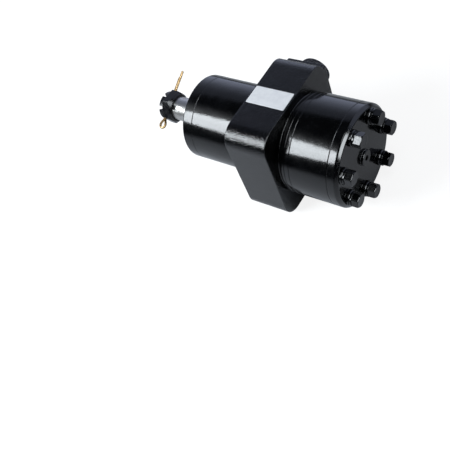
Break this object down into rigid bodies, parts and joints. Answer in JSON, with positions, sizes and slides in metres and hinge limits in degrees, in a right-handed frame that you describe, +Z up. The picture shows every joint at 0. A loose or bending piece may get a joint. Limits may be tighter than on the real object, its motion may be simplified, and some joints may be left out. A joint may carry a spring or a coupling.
{
  "type": "hydraulic wheel motor",
  "caption": "Orbital hydraulic wheel motor with a square mounting block, a long front barrel, a tapered keyed shaft with castle nut and cotter pin, and a bolted rear gear stack.",
  "frame": {"origin": "centre of the mounting face of the square block, on the shaft axis", "axes": "-X along the output shaft toward its thread, +X toward the end cover, +Z up with the motor lying on a side of its block, +Y toward the port pad"},
  "size_m": [0.255, 0.125, 0.1133],
  "materials": {
    "black_paint": "gloss black paint",
    "label_film": "satin film, blank",
    "plug_plastic": "moulded",
    "black_oxide": "black oxide",
    "yellow_zinc": "yellow zinc plate on steel",
    "ground_steel": "ground",
    "plain_steel": "machined",
    "cage_brass": "machined",
    "seal_rubber": "matte"
  },
  "bodies": {
    "motor_case": {"housing": "black_paint", "label_plate": "label_film", "front_cover": "black_paint", "front_cover_screws": "plain_steel", "front_cover_o_ring": "seal_rubber", "dust_seal": "seal_rubber", "shaft_seal": "seal_rubber", "bearing_ring": "plain_steel", "thrust_washer_front": "plain_steel", "housing_face_o_ring": "seal_rubber", "spacer_plate": "black_paint", "plate_o_ring": "seal_rubber", "gear_ring": "black_paint", "end_cover_o_ring": "seal_rubber", "end_cover": "black_paint", "end_cover_bolts": "black_paint", "bolt_washers": "black_paint", "drain_plug": "black_paint", "drain_plug_seal": "seal_rubber"},
    "shaft": {"output_shaft": "ground_steel", "castle_nut": "black_oxide", "cotter_pin": "yellow_zinc", "thrust_washer_rear": "plain_steel"},
    "bearing_set": {"bearing_cage": "cage_brass", "bearing_rollers": "ground_steel"},
    "thrust_set": {"thrust_cage": "cage_brass", "thrust_needles": "ground_steel"},
    "orbit": {"link_spacer": "plain_steel"},
    "rotor_body": {"rotor": "plain_steel"},
    "link": {"drive_link": "plain_steel"},
    "plug": {"port_plug": "plug_plastic"},
    "roller_body_1": {"roller_1": "ground_steel"},
    "roller_body_2": {"roller_2": "ground_steel"},
    "roller_body_3": {"roller_3": "ground_steel"},
    "roller_body_4": {"roller_4": "ground_steel"},
    "roller_body_5": {"roller_5": "ground_steel"},
    "roller_body_6": {"roller_6": "ground_steel"},
    "roller_body_7": {"roller_7": "ground_steel"}
  },
  "joints": [
    {"name": "shaft_spin", "type": "hinge", "parent": "motor_case", "child": "shaft", "pos_m": [0, 0, 0], "axis": [1, 0, 0], "continuous": true},
    {"name": "bearing_spin", "type": "hinge", "parent": "motor_case", "child": "bearing_set", "pos_m": [-0.049, 0, 0], "axis": [1, 0, 0], "continuous": true},
    {"name": "thrust_spin", "type": "hinge", "parent": "motor_case", "child": "thrust_set", "pos_m": [-0.033, 0, 0], "axis": [1, 0, 0], "continuous": true},
    {"name": "orbit_turn", "type": "hinge", "parent": "motor_case", "child": "orbit", "pos_m": [0.0775, 0, 0], "axis": [1, 0, 0], "continuous": true},
    {"name": "rotor_turn", "type": "hinge", "parent": "orbit", "child": "rotor_body", "pos_m": [0.0775, -0.00291, -0.00073], "axis": [1, 0, 0], "continuous": true},
    {"name": "link_turn", "type": "hinge", "parent": "orbit", "child": "link", "pos_m": [-0.004, 0, 0], "axis": [0.9993, -0.0357, -0.0089], "continuous": true},
    {"name": "port_plug_pull", "type": "slide", "parent": "motor_case", "child": "plug", "axis": [0, 1, 0], "range_m": [0, 0.03]},
    {"name": "roller_1_spin", "type": "hinge", "parent": "motor_case", "child": "roller_body_1", "pos_m": [0.0775, 0.02744, 0.01442], "axis": [1, 0, 0], "continuous": true},
    {"name": "roller_2_spin", "type": "hinge", "parent": "motor_case", "child": "roller_body_2", "pos_m": [0.0775, 0.00584, 0.03044], "axis": [1, 0, 0], "continuous": true},
    {"name": "roller_3_spin", "type": "hinge", "parent": "motor_case", "child": "roller_body_3", "pos_m": [0.0775, -0.02016, 0.02355], "axis": [1, 0, 0], "continuous": true},
    {"name": "roller_4_spin", "type": "hinge", "parent": "motor_case", "child": "roller_body_4", "pos_m": [0.0775, -0.03098, -0.00108], "axis": [1, 0, 0], "continuous": true},
    {"name": "roller_5_spin", "type": "hinge", "parent": "motor_case", "child": "roller_body_5", "pos_m": [0.0775, -0.01847, -0.0249], "axis": [1, 0, 0], "continuous": true},
    {"name": "roller_6_spin", "type": "hinge", "parent": "motor_case", "child": "roller_body_6", "pos_m": [0.0775, 0.00795, -0.02996], "axis": [1, 0, 0], "continuous": true},
    {"name": "roller_7_spin", "type": "hinge", "parent": "motor_case", "child": "roller_body_7", "pos_m": [0.0775, 0.02838, -0.01247], "axis": [1, 0, 0], "continuous": true}
  ],
  "couplings": [
    {"joint": "bearing_spin", "follows": "shaft_spin", "ratio": 0.4489},
    {"joint": "thrust_spin", "follows": "shaft_spin", "ratio": 0.5},
    {"joint": "orbit_turn", "follows": "shaft_spin", "ratio": -6},
    {"joint": "rotor_turn", "follows": "shaft_spin", "ratio": 7},
    {"joint": "link_turn", "follows": "shaft_spin", "ratio": 7}
  ]
}
